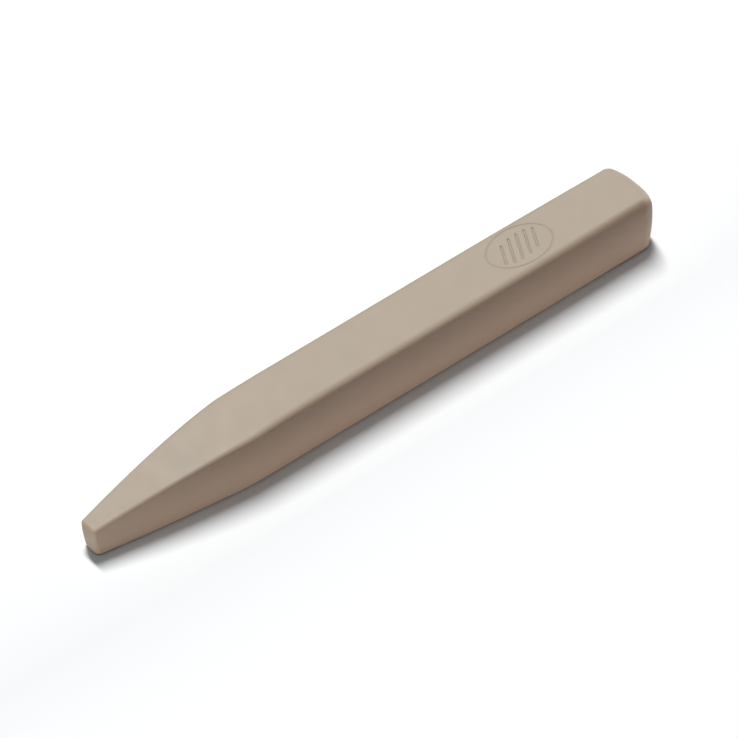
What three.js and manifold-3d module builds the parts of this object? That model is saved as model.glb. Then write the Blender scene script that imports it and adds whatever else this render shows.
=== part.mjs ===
// A blending stick for charcoal and pastel: one moulded piece of soft, matt rubber. It is a square bar with a
// four-sided taper, a small blunt tip, a full rounded butt and a shallow emblem sunk into its top face.
// Millimetres, +Z up. The stick lies on its flat underside, its length along X with the tip towards -X. The
// origin is on the underside, in the middle of the length and of the width.
import * as THREE from 'three';
import { mergeVertices } from 'three/addons/utils/BufferGeometryUtils.js';
import Module from 'manifold-3d';

const { degToRad, lerp, clamp, smoothstep } = THREE.MathUtils;

// Overall size
const LENGTH = 145.6;
const WIDTH = 14;
const HEIGHT = 14;

// Tapers: the length of each from the tip, how far it has come in at the tip, and the power of its curve. A
// power of 1 is a straight taper, and a higher one eases in from the straight body.
const FLANK_TAPER = { length: 38, depth: 4.79, power: 1.15 };
const TOP_TAPER = { length: 52, depth: 6.53, power: 1.9 };

// Rounding of the long edges. The two upper ones are finer along the tapers. Towards the butt they reach further
// down the sides, by the drop.
const UPPER_EDGE = { tip: 0.8, body: 1.7, growsFrom: 16, growsTo: 55 };
const BUTT_SOFTENING = { drop: 1.6, growsFrom: 104, growsTo: 140 };
const LOWER_EDGE = 0.4;

// Each end: how far its edges are rounded back along the length, how much further inwards its two lower corners
// are rounded, and over what reach the end is shaped. The foot of the tip's face is set back, and swept back
// further at its corners. The middle of the butt's face stands proud as a crown, whose fullness is the power of
// its curve, and its upper corners are swept back.
const TIP_END = { round: 0.7, corner: 0.9, setback: 0.77, sweep: 0.4, reach: 14 };
const BUTT_END = { round: 2.2, corner: 2, crown: 2.05, fullness: 2.7, sweep: 0.85, reach: 20 };
const SWEEP_POWER = 3;

// Emblem: an oval groove round five slanted hatch strokes, centred on the top face near the butt
const EMBLEM = { fromButt: 32.7, halfLength: 7.9, halfWidth: 5.2, groove: 0.34, depth: 0.25 };
const HATCH = { strokes: 5, pitch: 2.1, slant: degToRad(62), inset: 2, width: 0.5 };
const CUTTER_CLEARANCE = 1;
const OVAL_SEGMENTS = 22;
const STROKE_END_SEGMENTS = 4;

// Cells of the surface lattice: in each rounded edge, and between the edges along each axis. The cells between
// the ends are packed towards the tip, where the shape curves most.
const EDGE_CELLS = 3;
const CORE_CELLS = { along: 32, across: 4, up: 4 };
const PACKING_POWER = 1.5;

const RUBBER = { color: 0xb3a799, roughness: 0.78, metalness: 0 };

const wasm = await Module();
wasm.setup();

/** A lattice index as its place on the straight core, 0 to 1, and its offset round the edge, -1 to 1. */
function latticePlace(index, coreCells) {
  const cellsBefore = EDGE_CELLS - index;
  const cellsAfter = index - EDGE_CELLS - coreCells;
  const offset = (cells) => Math.tan((Math.PI / 4) * (cells / EDGE_CELLS));
  if (cellsBefore > 0) return { core: 0, edge: -offset(cellsBefore) };
  if (cellsAfter > 0) return { core: 1, edge: offset(cellsAfter) };
  return { core: -cellsBefore / coreCells, edge: 0 };
}

/** How far a taper has come in at this distance from the tip. */
function tapered(taper, fromTip) {
  return taper.depth * Math.max(0, 1 - fromTip / taper.length) ** taper.power;
}

/** How far a distance from the tip has come through the stretch over which an edge's rounding grows, 0 to 1. */
function growthAt({ growsFrom, growsTo }, fromTip) {
  return clamp((fromTip - growsFrom) / (growsTo - growsFrom), 0, 1);
}

/** The section at a distance from the tip: half width, height, and its upper edges' reach inwards and down. */
function sectionAt(fromTip) {
  const edgeIn = lerp(UPPER_EDGE.tip, UPPER_EDGE.body, smoothstep(growthAt(UPPER_EDGE, fromTip), 0, 1));
  return {
    halfWidth: WIDTH / 2 - tapered(FLANK_TAPER, fromTip),
    height: HEIGHT - tapered(TOP_TAPER, fromTip),
    edgeIn,
    edgeDown: edgeIn + BUTT_SOFTENING.drop * growthAt(BUTT_SOFTENING, fromTip) ** 2,
  };
}

/** How strongly an end shapes the stick at this distance from that end's straight core, 1 to 0. */
function endFade(end, fromCore) {
  return clamp(1 - fromCore / end.reach, 0, 1) ** 2;
}

/** The point of the stick's surface at a place on the lattice. */
function surfacePoint(along, across, up) {
  const outward = new THREE.Vector3(along.edge, across.edge, up.edge).normalize();
  const coreStart = TIP_END.round;
  const coreEnd = LENGTH - BUTT_END.crown - BUTT_END.round;
  const fromTip = lerp(coreStart, coreEnd, along.core ** PACKING_POWER);
  const tipFade = endFade(TIP_END, fromTip - coreStart);
  const buttFade = endFade(BUTT_END, coreEnd - fromTip);

  const { halfWidth, height, edgeIn, edgeDown } = sectionAt(fromTip);
  const lowerIn = LOWER_EDGE + TIP_END.corner * tipFade + BUTT_END.corner * buttFade;
  const roundIn = lerp(lowerIn, edgeIn, up.core);
  const roundDown = lerp(LOWER_EDGE, edgeDown, up.core);
  const coreHalfWidth = halfWidth - roundIn;
  const y = lerp(-coreHalfWidth, coreHalfWidth, across.core) + roundIn * outward.y;
  const z = lerp(LOWER_EDGE, height - edgeDown, up.core) + roundDown * outward.z;

  const endRound = along.edge < 0 ? TIP_END.round : BUTT_END.round;
  const nearFlank = Math.abs(y / halfWidth) ** SWEEP_POWER;
  const tipSetback = (TIP_END.setback + TIP_END.sweep * nearFlank) * (1 - z / height) ** 2 * tipFade;
  const power = BUTT_END.fullness;
  const crownShare = (1 - Math.abs(y / halfWidth) ** power) * (1 - Math.abs((2 * z) / height - 1) ** power);
  const buttSetback = BUTT_END.sweep * nearFlank * (z / height) ** SWEEP_POWER;
  const crown = (BUTT_END.crown * crownShare - buttSetback) * buttFade;
  const x = fromTip + endRound * outward.x + tipSetback + crown;
  return new THREE.Vector3(x - LENGTH / 2, y, z);
}

/** The bare stick: a box of unit cells, with each vertex moved to its place on the stick's surface. */
function stickGeometry() {
  const cells = [CORE_CELLS.along, CORE_CELLS.across, CORE_CELLS.up].map((core) => core + 2 * EDGE_CELLS);
  const geometry = new THREE.BoxGeometry(...cells, ...cells);
  geometry.translate(cells[0] / 2, cells[1] / 2, cells[2] / 2);
  const position = geometry.getAttribute('position');
  for (let i = 0; i < position.count; i += 1) {
    const point = surfacePoint(
      latticePlace(Math.round(position.getX(i)), CORE_CELLS.along),
      latticePlace(Math.round(position.getY(i)), CORE_CELLS.across),
      latticePlace(Math.round(position.getZ(i)), CORE_CELLS.up),
    );
    position.setXYZ(i, point.x, point.y, point.z);
  }
  return geometry;
}

/** A flat outline as a closed cutter that reaches from the grooves' floor to clear above the top face. */
function grooveCutter(outline, curveSegments) {
  const depth = EMBLEM.depth + CUTTER_CLEARANCE;
  const cutter = new THREE.ExtrudeGeometry(outline, { depth, curveSegments, bevelEnabled: false });
  return cutter.translate(LENGTH / 2 - EMBLEM.fromButt, 0, HEIGHT - EMBLEM.depth);
}

/** The emblem's oval groove. */
function ovalCutter() {
  const half = EMBLEM.groove / 2;
  const outline = new THREE.Shape();
  outline.absellipse(0, 0, EMBLEM.halfLength + half, EMBLEM.halfWidth + half, 0, 2 * Math.PI);
  const island = new THREE.Path();
  island.absellipse(0, 0, EMBLEM.halfLength - half, EMBLEM.halfWidth - half, 0, 2 * Math.PI);
  outline.holes.push(island);
  return grooveCutter(outline, OVAL_SEGMENTS);
}

/** Half the length of a slanted stroke through (x, 0) that stays inside the oval by the hatch's inset. */
function strokeHalfLength(x) {
  const a = EMBLEM.halfLength - HATCH.inset;
  const b = EMBLEM.halfWidth - HATCH.inset;
  const cos = Math.cos(HATCH.slant);
  const sin = Math.sin(HATCH.slant);
  const square = (cos / a) ** 2 + (sin / b) ** 2;
  const chord = Math.sqrt(Math.max(0, square - (x * sin / (a * b)) ** 2));
  return chord / square;
}

/** One straight stroke with round ends, slanted across the stick. */
function strokeCutter(x) {
  const half = strokeHalfLength(x);
  const radius = HATCH.width / 2;
  const outline = new THREE.Shape();
  outline.absarc(half, 0, radius, -Math.PI / 2, Math.PI / 2);
  outline.absarc(-half, 0, radius, Math.PI / 2, (3 * Math.PI) / 2);
  const slanted = new THREE.Shape(outline.getPoints(STROKE_END_SEGMENTS).map(
    (point) => point.rotateAround(new THREE.Vector2(), HATCH.slant).add(new THREE.Vector2(x, 0)),
  ));
  return grooveCutter(slanted, 1);
}

/** A closed geometry as a solid that can be cut. */
function toSolid(geometry) {
  const bare = geometry.clone();
  bare.deleteAttribute('normal');
  bare.deleteAttribute('uv');
  const merged = mergeVertices(bare);
  return new wasm.Manifold(new wasm.Mesh({
    numProp: 3,
    vertProperties: new Float32Array(merged.getAttribute('position').array),
    triVerts: new Uint32Array(merged.getIndex().array),
  }));
}

/** A solid as a geometry again. */
function toGeometry(solid) {
  const mesh = solid.getMesh();
  const geometry = new THREE.BufferGeometry();
  geometry.setAttribute('position', new THREE.BufferAttribute(mesh.vertProperties, 3));
  geometry.setIndex(new THREE.BufferAttribute(mesh.triVerts, 1));
  geometry.computeVertexNormals();
  return geometry;
}

/** The stick with its emblem cut into the top face. */
function stumpBody() {
  const cutters = [ovalCutter()];
  for (let i = 0; i < HATCH.strokes; i += 1) {
    cutters.push(strokeCutter((i - (HATCH.strokes - 1) / 2) * HATCH.pitch));
  }
  const solid = cutters.reduce((body, cutter) => body.subtract(toSolid(cutter)), toSolid(stickGeometry()));
  const mesh = new THREE.Mesh(toGeometry(solid), new THREE.MeshStandardMaterial(RUBBER));
  mesh.name = 'stump_body';
  return mesh;
}

const blendingStump = new THREE.Group();
blendingStump.add(stumpBody());

export default blendingStump;
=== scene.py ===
"""A moulded rubber blending stick, lying on a pale studio floor.

Metres, +Z up, in the part's own frame: the stick lies on its underside along X, tip towards -X, with the
origin on the underside in the middle of its length and width.
"""
import math

import bmesh
import bpy
import numpy as np
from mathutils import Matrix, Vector


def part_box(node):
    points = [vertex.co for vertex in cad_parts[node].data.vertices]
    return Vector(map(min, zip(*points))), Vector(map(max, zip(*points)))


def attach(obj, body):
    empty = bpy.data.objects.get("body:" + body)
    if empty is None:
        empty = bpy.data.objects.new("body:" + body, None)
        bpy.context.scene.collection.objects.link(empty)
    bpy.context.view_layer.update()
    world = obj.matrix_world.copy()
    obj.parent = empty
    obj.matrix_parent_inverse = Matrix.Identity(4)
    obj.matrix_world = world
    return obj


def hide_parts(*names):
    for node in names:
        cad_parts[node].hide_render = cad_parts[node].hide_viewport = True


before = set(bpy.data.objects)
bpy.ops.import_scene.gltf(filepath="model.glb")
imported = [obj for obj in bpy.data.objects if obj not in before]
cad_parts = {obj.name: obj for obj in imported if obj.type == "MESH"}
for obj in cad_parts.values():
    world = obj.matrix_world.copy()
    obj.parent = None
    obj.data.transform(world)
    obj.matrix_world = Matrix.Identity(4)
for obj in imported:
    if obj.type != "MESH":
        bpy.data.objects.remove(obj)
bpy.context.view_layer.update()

MM = 0.001
NODE = "stump_body"
low_corner, high_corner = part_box(NODE)
LENGTH, WIDTH, HEIGHT = high_corner - low_corner

# The stick's shape. Each taper has its length from the tip, how far it has come in at the tip, and the
# power of its curve. The upper edges are finer along the tapers, and towards the butt they reach further
# down the sides, by the drop. Each end has its edges' rounding along the stick, how much further its lower
# corners round inwards, and the reach over which it is shaped. The foot of the tip's face is set back, and
# swept back further at its corners. The butt's face has a crown, whose fullness is its curve's power, and
# its upper corners are swept back.
FLANK_TAPER = {"length": 38 * MM, "depth": 4.79 * MM, "power": 1.15}
TOP_TAPER = {"length": 52 * MM, "depth": 6.53 * MM, "power": 1.9}
UPPER_EDGE = {"tip": 0.8 * MM, "body": 1.7 * MM, "grows": (16 * MM, 55 * MM)}
BUTT_SOFTENING = {"grows": (104 * MM, 140 * MM), "drop": 1.6 * MM}
LOWER_EDGE = 0.4 * MM
TIP_END = {"round": 0.7 * MM, "corner": 0.9 * MM, "setback": 0.77 * MM, "sweep": 0.4 * MM, "reach": 14 * MM}
BUTT_END = {
    "round": 2.2 * MM,
    "corner": 2.0 * MM,
    "crown": 2.05 * MM,
    "fullness": 2.7,
    "sweep": 0.85 * MM,
    "reach": 20 * MM,
}
SWEEP_POWER = 3

# The mould's parting line: a fine groove round the stick just above its lower edge. Its depth swings about
# a mean share of the full one in two waves, which are given as their lengths.
PARTING = {"height": 0.52 * MM, "half_width": 0.15 * MM, "depth": 0.1 * MM}
PARTING_SWING = {"mean": 0.6, "swing": 0.2, "waves": (17 * MM, 6.1 * MM)}

# Emblem: an oval groove round slanted hatch strokes, on the top face near the butt. The mesh is finer
# within the band along each groove.
EMBLEM = {"from_butt": 32.7 * MM, "half_length": 7.9 * MM, "half_width": 5.2 * MM}
OVAL = {"floor": 0.06 * MM, "shoulder": 0.22 * MM, "depth": 0.15 * MM}
HATCH = {"strokes": 5, "pitch": 2.1 * MM, "slant": math.radians(62), "inset": 2.0 * MM}
STROKE = {"floor": 0.12 * MM, "shoulder": 0.24 * MM, "depth": 0.28 * MM}
FINE_BAND = 0.75 * MM
FINE_CUTS = 6

# Surface lattice: cells in each rounded edge, the size of those between the edges, and the finer rows for
# the parting line, as the share of the height that they reach up to and their number
EDGE_CELLS = 7
CORE_CELL = 0.5 * MM
PARTING_ROWS = {"reach": 0.05, "count": 12}

# Rubber: its colours, how much of each pattern shows, and the patterns' sizes
RUBBER_TONE = (0.288, 0.257, 0.206, 1)
RUBBER_WARM = (0.299, 0.260, 0.202, 1)
RUBBER_COOL = (0.277, 0.254, 0.209, 1)
RUBBER_DUST = (0.325, 0.296, 0.244, 1)
RUBBER_ROUGHNESS = (0.58, 0.68)
RUBBER_IOR = 1.5
MOTTLE_SHARE = (0.2, 0.8)
DUST_SHARE = (0.0, 0.12)
PATTERN = {"clouds": 9 * MM, "mottle": 2.5 * MM, "sheen": 4 * MM, "waves": 7 * MM, "grain": 0.22 * MM}
WAVE_HEIGHT = 0.05 * MM
PORE_DEPTH = 0.02 * MM
BUMP_STRENGTH = 0.5

# Floor and flag: the two tones that each drifts between, and the size of the drift
FLOOR_HALF_SIZE = 6.0
CARD = {"tones": ((0.798, 0.798, 0.797, 1), (0.802, 0.802, 0.801, 1)), "drift": 60 * MM}
FELT = {"tones": ((0.010, 0.010, 0.010, 1), (0.014, 0.014, 0.014, 1)), "drift": 3 * MM}

# View
AZIMUTH = math.radians(39.85)
ELEVATION = math.radians(45.8)
CAMERA_DISTANCE = 1.6
FOCAL_LENGTH = 385.4
AIM_RIGHT, AIM_UP = 0.05 * MM, -1.83 * MM
CLIPPING = (0.1, 20)

# Lights. The key's sides are given as slopes, at a height of 1, so that raising it keeps the shadow's
# shape. The kicker and the flag stand off the stick's near side by their gaps.
KEY = {"height": 9.0, "x": (0.09, 0.2), "y": (0.17, 0.68), "radiance": 82.6}
FILLS = (
    {"name": "fill_left", "at": (-1.5, -0.87, 1.0), "size": (0.7, 0.7), "radiance": 17.9},
    {"name": "fill_right", "at": (1.6, -0.2, 0.3), "size": (0.6, 0.6), "radiance": 16.0},
)
FILL_COLOUR = (1.0, 0.77, 0.67)
KICKER = {"gap": 0.008, "height": 0.0025, "size": (0.2, 0.002), "radiance": 2.2, "colour": (1.0, 0.66, 0.56)}
FLAG = {"gap": 0.012, "top": 0.045, "half_length": 0.15}
LIFT = {"height": 5.0, "size": (6.0, 6.0), "radiance": 0.805, "colour": (0.82, 0.93, 1.0)}
ROOM = {"dim": 0.05, "pale": 0.75, "band": (0.05, 0.12)}
WHITE = (1.0, 1.0, 1.0)
ORIGIN = (0, 0, 0)

# The span that most of a noise's values lie in, and a floor that keeps a divisor off zero
NOISE_SPAN = (0.3, 0.7)
TINY = 1e-9


def lerp(start, end, share):
    return start + (end - start) * share


def smoothstep(value):
    """0 below 0, 1 above 1, and an S-curve between."""
    t = np.clip(value, 0, 1)
    return t * t * (3 - 2 * t)


# ---------------------------------------------------------------- shape

def lattice_axis(core_places):
    """Each lattice line's place on the straight core, 0 to 1, and its offset round the edge, -1 to 1."""
    steps = np.arange(1, EDGE_CELLS + 1) / EDGE_CELLS
    offsets = np.tan(np.radians(45) * steps)
    core = np.concatenate([np.zeros(EDGE_CELLS), core_places, np.ones(EDGE_CELLS)])
    edge = np.concatenate([-offsets[::-1], np.zeros(len(core_places)), offsets])
    return core, edge


def even_places(size, start=0):
    """Places from start to 1 on a core this long, about a core cell apart."""
    return np.linspace(start, 1, round((1 - start) * size / CORE_CELL) + 1)


def surface_lattice(counts):
    """The lattice points on the surface of a box of cells, as indices, and the quads between them."""
    on_surface = np.ones(counts, bool)
    on_surface[1:-1, 1:-1, 1:-1] = False
    number = np.full(counts, -1)
    number[on_surface] = np.arange(on_surface.sum())
    quads = []
    for axis in range(3):
        for side in (0, -1):
            sheet = np.take(number, side, axis=axis)
            corners = [sheet[:-1, :-1], sheet[1:, :-1], sheet[1:, 1:], sheet[:-1, 1:]]
            faces_in = (side == 0) != (axis == 1)
            quads.append(np.stack(corners[::-1] if faces_in else corners, -1).reshape(-1, 4))
    return np.argwhere(on_surface), np.concatenate(quads)


def tapered(taper, from_tip):
    """How far a taper has come in at this distance from the tip."""
    return taper["depth"] * np.maximum(0, 1 - from_tip / taper["length"]) ** taper["power"]


def share_of(span, value):
    """How far a value has come through a span, 0 to 1."""
    start, end = span
    return np.clip((value - start) / (end - start), 0, 1)


def section_at(from_tip):
    """The section at a distance from the tip: half width, height, and its upper edges' reach in and down."""
    half_width = WIDTH / 2 - tapered(FLANK_TAPER, from_tip)
    height = HEIGHT - tapered(TOP_TAPER, from_tip)
    growth = smoothstep(share_of(UPPER_EDGE["grows"], from_tip))
    edge_in = lerp(UPPER_EDGE["tip"], UPPER_EDGE["body"], growth)
    edge_down = edge_in + BUTT_SOFTENING["drop"] * share_of(BUTT_SOFTENING["grows"], from_tip) ** 2
    return half_width, height, edge_in, edge_down


def end_fade(end, from_core):
    """How strongly an end shapes the stick at this distance from that end's straight core, 1 to 0."""
    return np.clip(1 - from_core / end["reach"], 0, 1) ** 2


def surface_points(core, edge):
    """Points of the bare stick, for the places on its core and round its edges along x, y and z."""
    outward = edge / np.linalg.norm(edge, axis=1, keepdims=True)
    core_start = TIP_END["round"]
    core_end = LENGTH - BUTT_END["crown"] - BUTT_END["round"]
    from_tip = lerp(core_start, core_end, core[:, 0])
    tip_fade = end_fade(TIP_END, from_tip - core_start)
    butt_fade = end_fade(BUTT_END, core_end - from_tip)

    half_width, height, edge_in, edge_down = section_at(from_tip)
    lower_in = LOWER_EDGE + TIP_END["corner"] * tip_fade + BUTT_END["corner"] * butt_fade
    round_in = lerp(lower_in, edge_in, core[:, 2])
    round_down = lerp(LOWER_EDGE, edge_down, core[:, 2])
    core_half_width = half_width - round_in
    y = lerp(-core_half_width, core_half_width, core[:, 1]) + round_in * outward[:, 1]
    z = lerp(LOWER_EDGE, height - edge_down, core[:, 2]) + round_down * outward[:, 2]

    end_round = np.where(edge[:, 0] < 0, TIP_END["round"], BUTT_END["round"])
    near_flank = np.abs(y / half_width) ** SWEEP_POWER
    tip_setback = (TIP_END["setback"] + TIP_END["sweep"] * near_flank) * (1 - z / height) ** 2 * tip_fade
    power = BUTT_END["fullness"]
    crown_share = (1 - np.abs(y / half_width) ** power) * (1 - np.abs(2 * z / height - 1) ** power)
    crown = BUTT_END["crown"] * crown_share * butt_fade
    butt_setback = BUTT_END["sweep"] * near_flank * (z / height) ** SWEEP_POWER * butt_fade
    x = from_tip + end_round * outward[:, 0] + tip_setback + crown - butt_setback
    return np.stack([x - LENGTH / 2, y, z], 1), outward


# ---------------------------------------------------------------- emblem and parting line

def emblem_xy(points):
    """Points as seen from above, from the emblem's middle."""
    return points[:, :2] - [LENGTH / 2 - EMBLEM["from_butt"], 0]


def distance_to_oval(xy):
    """Distance to the emblem's oval, close to exact near it."""
    axes = np.array([EMBLEM["half_length"], EMBLEM["half_width"]])
    level = np.linalg.norm(xy / axes, axis=1)
    slope = np.linalg.norm(xy / axes ** 2, axis=1) / np.maximum(level, TINY)
    return np.abs(level - 1) / np.maximum(slope, TINY)


def stroke_half_length(x):
    """Half the length of a slanted stroke through (x, 0) that stays inside the oval by the hatch's inset."""
    a = EMBLEM["half_length"] - HATCH["inset"]
    b = EMBLEM["half_width"] - HATCH["inset"]
    cos, sin = math.cos(HATCH["slant"]), math.sin(HATCH["slant"])
    square = (cos / a) ** 2 + (sin / b) ** 2
    return math.sqrt(max(0, square - (x * sin / (a * b)) ** 2)) / square


def distance_to_hatch(xy):
    """Distance to the nearest of the hatch strokes."""
    direction = np.array([math.cos(HATCH["slant"]), math.sin(HATCH["slant"])])
    nearest = np.full(len(xy), np.inf)
    for i in range(HATCH["strokes"]):
        x = (i - (HATCH["strokes"] - 1) / 2) * HATCH["pitch"]
        offset = xy - [x, 0]
        reach = stroke_half_length(x)
        along = np.clip(offset @ direction, -reach, reach)
        nearest = np.minimum(nearest, np.linalg.norm(offset - along[:, None] * direction, axis=1))
    return nearest


def groove_depth(groove, distance):
    """How deep a groove is at a distance from its middle line: a flat floor between soft shoulders."""
    return groove["depth"] * (1 - smoothstep((distance - groove["floor"]) / groove["shoulder"]))


def emblem_depth(points):
    """How deep the emblem is sunk at each point of the top face."""
    xy = emblem_xy(points)
    return np.maximum(groove_depth(OVAL, distance_to_oval(xy)), groove_depth(STROKE, distance_to_hatch(xy)))


def near_groove(points):
    """Whether each point is close enough to a groove to need the fine mesh."""
    xy = emblem_xy(points)
    on_top = points[:, 2] > HEIGHT / 2
    return on_top & (np.minimum(distance_to_oval(xy), distance_to_hatch(xy)) < FINE_BAND)


def parting_depth(points):
    """How deep the parting line is sunk at each point of the sides."""
    profile = 1 - smoothstep(np.abs(points[:, 2] - PARTING["height"]) / PARTING["half_width"])
    along = points[:, 0] + points[:, 1]
    waves = sum(np.sin(2 * math.pi * along / length) for length in PARTING_SWING["waves"])
    return PARTING["depth"] * profile * (PARTING_SWING["mean"] + PARTING_SWING["swing"] * waves)


def refine_emblem(mesh):
    """Cuts the faces along the emblem's grooves into fine squares."""
    work = bmesh.new()
    work.from_mesh(mesh)
    centres = np.array([face.calc_center_median() for face in work.faces])
    work.faces.ensure_lookup_table()
    near = [work.faces[i] for i in np.flatnonzero(near_groove(centres))]
    edges = {edge for face in near for edge in face.edges}
    bmesh.ops.subdivide_edges(work, edges=list(edges), cuts=FINE_CUTS, use_grid_fill=True)
    work.to_mesh(mesh)
    work.free()


def sink_emblem(mesh):
    """Presses the emblem's grooves into the top face."""
    points = np.zeros(len(mesh.vertices) * 3)
    mesh.vertices.foreach_get("co", points)
    points = points.reshape(-1, 3)
    on_top = points[:, 2] > HEIGHT / 2
    points[:, 2] -= np.where(on_top, emblem_depth(points), 0)
    mesh.vertices.foreach_set("co", points.ravel())
    mesh.update()


def stump_mesh():
    """The stick's skin with its parting line and emblem."""
    parting_rows = np.linspace(0, PARTING_ROWS["reach"], PARTING_ROWS["count"], endpoint=False)
    up_places = np.concatenate([parting_rows, even_places(HEIGHT, PARTING_ROWS["reach"])])
    axes = [lattice_axis(places) for places in (even_places(LENGTH), even_places(WIDTH), up_places)]
    places, quads = surface_lattice([len(core) for core, edge in axes])
    core = np.stack([axes[i][0][places[:, i]] for i in range(3)], 1)
    edge = np.stack([axes[i][1][places[:, i]] for i in range(3)], 1)
    points, outward = surface_points(core, edge)
    points -= outward * [1, 1, 0] * parting_depth(points)[:, None]
    reach = points[:, 0].min(), points[:, 0].max()
    points[:, 0] = np.interp(points[:, 0], reach, (low_corner[0], high_corner[0]))

    mesh = bpy.data.meshes.new("stump")
    mesh.from_pydata(points.tolist(), [], quads.tolist())
    refine_emblem(mesh)
    sink_emblem(mesh)
    mesh.polygons.foreach_set("use_smooth", [True] * len(mesh.polygons))
    return mesh


# ---------------------------------------------------------------- materials

class Nodes:
    """A material's node tree, with short calls for the nodes used here."""

    def __init__(self, name):
        self.material = bpy.data.materials.new(name)
        self.material.use_nodes = True
        self.tree = self.material.node_tree
        self.shader = self.tree.nodes["Principled BSDF"]
        self.coordinates = self.add("ShaderNodeTexCoord").outputs["Object"]

    def add(self, kind, **inputs):
        """A new node, with these inputs put in by name. An underscore stands for a space."""
        node = self.tree.nodes.new(kind)
        for name, value in inputs.items():
            self.put(node.inputs[name.replace("_", " ")], value)
        return node

    def put(self, socket, value):
        """Links another node's output to a socket, or sets the socket to a constant."""
        if isinstance(value, bpy.types.NodeSocket):
            self.tree.links.new(value, socket)
        else:
            socket.default_value = value

    def noise(self, feature, detail=3.0):
        """Noise with blotches of this size in metres, about 0.5 on average."""
        node = self.add("ShaderNodeTexNoise", Vector=self.coordinates, Scale=1 / feature, Detail=detail)
        return node.outputs["Fac"]

    def remap(self, value, low, high):
        """A noise's usual span, mapped to low and high."""
        node = self.add("ShaderNodeMapRange", Value=value, To_Min=low, To_Max=high)
        node.inputs["From Min"].default_value, node.inputs["From Max"].default_value = NOISE_SPAN
        return node.outputs["Result"]

    def mix(self, share, first, second):
        """A colour this share of the way from the first to the second."""
        node = self.tree.nodes.new("ShaderNodeMix")
        node.data_type = "RGBA"
        self.put(node.inputs[0], share)
        self.put(node.inputs[6], first)
        self.put(node.inputs[7], second)
        return node.outputs[2]

    def bump(self, height, distance, normal=None):
        """A surface raised by this distance where the height is 1, on top of another bump if there is one."""
        node = self.add("ShaderNodeBump", Height=height, Distance=distance, Strength=BUMP_STRENGTH)
        if normal is not None:
            self.put(node.inputs["Normal"], normal)
        return node.outputs["Normal"]


def rubber_material():
    """Warm grey rubber: matt and slightly bloomed, with a fine grain and faint cloudy mottling."""
    nodes = Nodes("rubber")
    clouds = nodes.remap(nodes.noise(PATTERN["clouds"]), 0, 1)
    mottle = nodes.remap(nodes.noise(PATTERN["mottle"]), *MOTTLE_SHARE)
    grain = nodes.noise(PATTERN["grain"], detail=4.0)
    tone = nodes.mix(clouds, RUBBER_WARM, RUBBER_COOL)
    tone = nodes.mix(mottle, tone, RUBBER_TONE)
    tone = nodes.mix(nodes.remap(grain, *DUST_SHARE), tone, RUBBER_DUST)
    waves = nodes.bump(nodes.noise(PATTERN["waves"], detail=1.0), WAVE_HEIGHT)
    pores = nodes.bump(grain, PORE_DEPTH, waves)
    sheen = nodes.remap(nodes.noise(PATTERN["sheen"]), *RUBBER_ROUGHNESS)
    nodes.put(nodes.shader.inputs["Base Color"], tone)
    nodes.put(nodes.shader.inputs["Roughness"], sheen)
    nodes.put(nodes.shader.inputs["Normal"], pores)
    nodes.put(nodes.shader.inputs["IOR"], RUBBER_IOR)
    return nodes.material


def flag_material():
    """Black felt."""
    nodes = Nodes("flag_felt")
    nap = nodes.remap(nodes.noise(FELT["drift"]), 0, 1)
    nodes.put(nodes.shader.inputs["Base Color"], nodes.mix(nap, *FELT["tones"]))
    nodes.put(nodes.shader.inputs["Roughness"], 1.0)
    nodes.put(nodes.shader.inputs["Specular IOR Level"], 0.0)
    return nodes.material


def floor_material():
    """Smooth pale card."""
    nodes = Nodes("floor_card")
    shade = nodes.remap(nodes.noise(CARD["drift"], detail=2.0), 0, 1)
    nodes.put(nodes.shader.inputs["Base Color"], nodes.mix(shade, *CARD["tones"]))
    nodes.put(nodes.shader.inputs["Roughness"], 0.9)
    nodes.put(nodes.shader.inputs["Specular IOR Level"], 0.1)
    return nodes.material


# ---------------------------------------------------------------- scene

def add_object(name, data):
    made = bpy.data.objects.new(name, data)
    bpy.context.scene.collection.objects.link(made)
    return made


def make_stump():
    """The stick, in place of its plain CAD solid."""
    stump = add_object("blending_stump", stump_mesh())
    stump.data.materials.append(rubber_material())
    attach(stump, "root")
    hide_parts(NODE)
    return stump


def flat_card(name, corners):
    """A flat sheet with these four corners."""
    mesh = bpy.data.meshes.new(name)
    mesh.from_pydata(corners, [], [(0, 1, 2, 3)])
    return add_object(name, mesh)


def make_floor():
    """A wide card under the stick."""
    half = FLOOR_HALF_SIZE
    floor = flat_card("floor", [(-half, -half, 0), (half, -half, 0), (half, half, 0), (-half, half, 0)])
    floor.data.materials.append(floor_material())
    return floor


def make_area_light(name, location, aim, size, radiance, colour):
    """A soft rectangular lamp facing a point, as bright per area as asked. Its first side lies along X."""
    data = bpy.data.lights.new(name, "AREA")
    data.shape = "RECTANGLE"
    data.size, data.size_y = size
    data.energy = radiance * math.pi * size[0] * size[1]
    data.color = colour
    light = add_object(name, data)
    light.location = location
    light.rotation_mode = "QUATERNION"
    light.rotation_quaternion = (Vector(location) - Vector(aim)).to_track_quat("Z", "Y")
    return light


def light_only(light, receiver):
    """Lets a lamp light one object and nothing else."""
    receivers = bpy.data.collections.new(light.name + "_receivers")
    receivers.objects.link(receiver)
    light.light_linking.receiver_collection = receivers


def make_flag():
    """A black card along the near side, which keeps the floor's glare off it. The camera doesn't see it."""
    y = -WIDTH / 2 - FLAG["gap"]
    half, top = FLAG["half_length"], FLAG["top"]
    flag = flat_card("flag", [(-half, y, 0), (half, y, 0), (half, y, top), (-half, y, top)])
    flag.data.materials.append(flag_material())
    flag.visible_camera = False
    flag.visible_shadow = False


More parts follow.
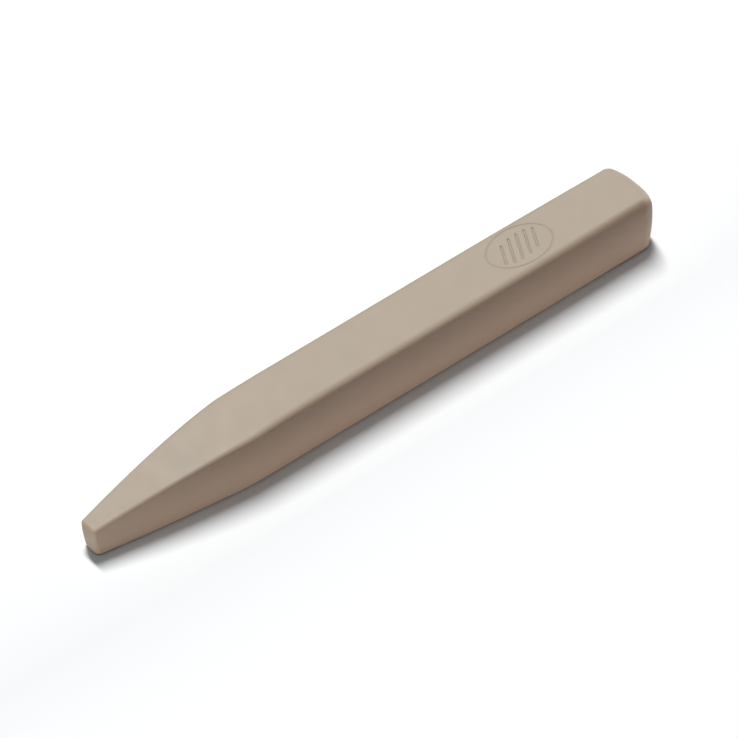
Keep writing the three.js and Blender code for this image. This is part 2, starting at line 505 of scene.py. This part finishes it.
def make_key():
    """The key: a long, level soft box high behind the stick, whose near end sets the shadow's dark core."""
    x0, x1 = KEY["x"]
    y0, y1 = KEY["y"]
    centre = Vector(((x0 + x1) / 2, (y0 + y1) / 2, 1)) * KEY["height"]
    size = ((x1 - x0) * KEY["height"], (y1 - y0) * KEY["height"])
    straight_down = centre - Vector((0, 0, 1))
    key = make_area_light("key", centre, straight_down, size, KEY["radiance"], WHITE)
    key.data.cycles.use_multiple_importance_sampling = False


def make_kicker(stump):
    """A low strip lamp that warms the foot of the stick's near side."""
    place = Vector((0, -WIDTH / 2 - KICKER["gap"], KICKER["height"]))
    ahead = place + Vector((0, 1, 0))
    kicker = make_area_light("kicker", place, ahead, KICKER["size"], KICKER["radiance"], KICKER["colour"])
    kicker.visible_camera = False
    light_only(kicker, stump)


def make_fills(stump):
    """The stick's own fill lamps, in front of it."""
    for fill in FILLS:
        lamp = make_area_light(fill["name"], fill["at"], ORIGIN, fill["size"], fill["radiance"], FILL_COLOUR)
        light_only(lamp, stump)


def make_lift(floor):
    """The floor's own lamp, which nothing shades, so that it lifts the shadow."""
    place = (0, 0, LIFT["height"])
    lift = make_area_light("lift", place, ORIGIN, LIFT["size"], LIFT["radiance"], LIFT["colour"])
    light_only(lift, floor)
    lift.light_linking.blocker_collection = bpy.data.collections.new("nothing")


def make_lights(stump, floor):
    """All the lamps, the flag and the dim room."""
    make_key()
    make_flag()
    make_kicker(stump)
    make_fills(stump)
    make_lift(floor)
    make_world()


def make_world():
    """A dim room with a pale band at the horizon."""
    world = bpy.data.worlds.new("room")
    world.use_nodes = True
    tree = world.node_tree
    height = tree.nodes.new("ShaderNodeSeparateXYZ")
    coordinates = tree.nodes.new("ShaderNodeTexCoord")
    tree.links.new(coordinates.outputs["Generated"], height.inputs[0])
    level = tree.nodes.new("ShaderNodeMapRange")
    tree.links.new(height.outputs["Z"], level.inputs["Value"])
    level.inputs["From Min"].default_value, level.inputs["From Max"].default_value = ROOM["band"]
    level.inputs["To Min"].default_value = ROOM["pale"]
    level.inputs["To Max"].default_value = ROOM["dim"]
    background = tree.nodes["Background"]
    background.inputs["Color"].default_value = (*WHITE, 1)
    tree.links.new(level.outputs["Result"], background.inputs["Strength"])
    bpy.context.scene.world = world


def make_camera():
    """A long lens, looking down on the stick from the front and the tip's side."""
    right = Vector((math.cos(AZIMUTH), -math.sin(AZIMUTH), 0))
    ahead = Vector((math.sin(AZIMUTH), math.cos(AZIMUTH), 0))
    back = -ahead * math.cos(ELEVATION) + Vector((0, 0, math.sin(ELEVATION)))
    up = back.cross(right)
    data = bpy.data.cameras.new("camera")
    data.lens = FOCAL_LENGTH
    data.clip_start, data.clip_end = CLIPPING
    camera = add_object("camera", data)
    aim = Vector((0, 0, HEIGHT / 2)) + right * AIM_RIGHT + up * AIM_UP
    camera.location = aim + back * CAMERA_DISTANCE
    camera.rotation_mode = "QUATERNION"
    camera.rotation_quaternion = back.to_track_quat("Z", "Y")
    bpy.context.scene.camera = camera


bpy.context.scene.view_settings.view_transform = "Standard"
make_camera()
make_lights(make_stump(), make_floor())
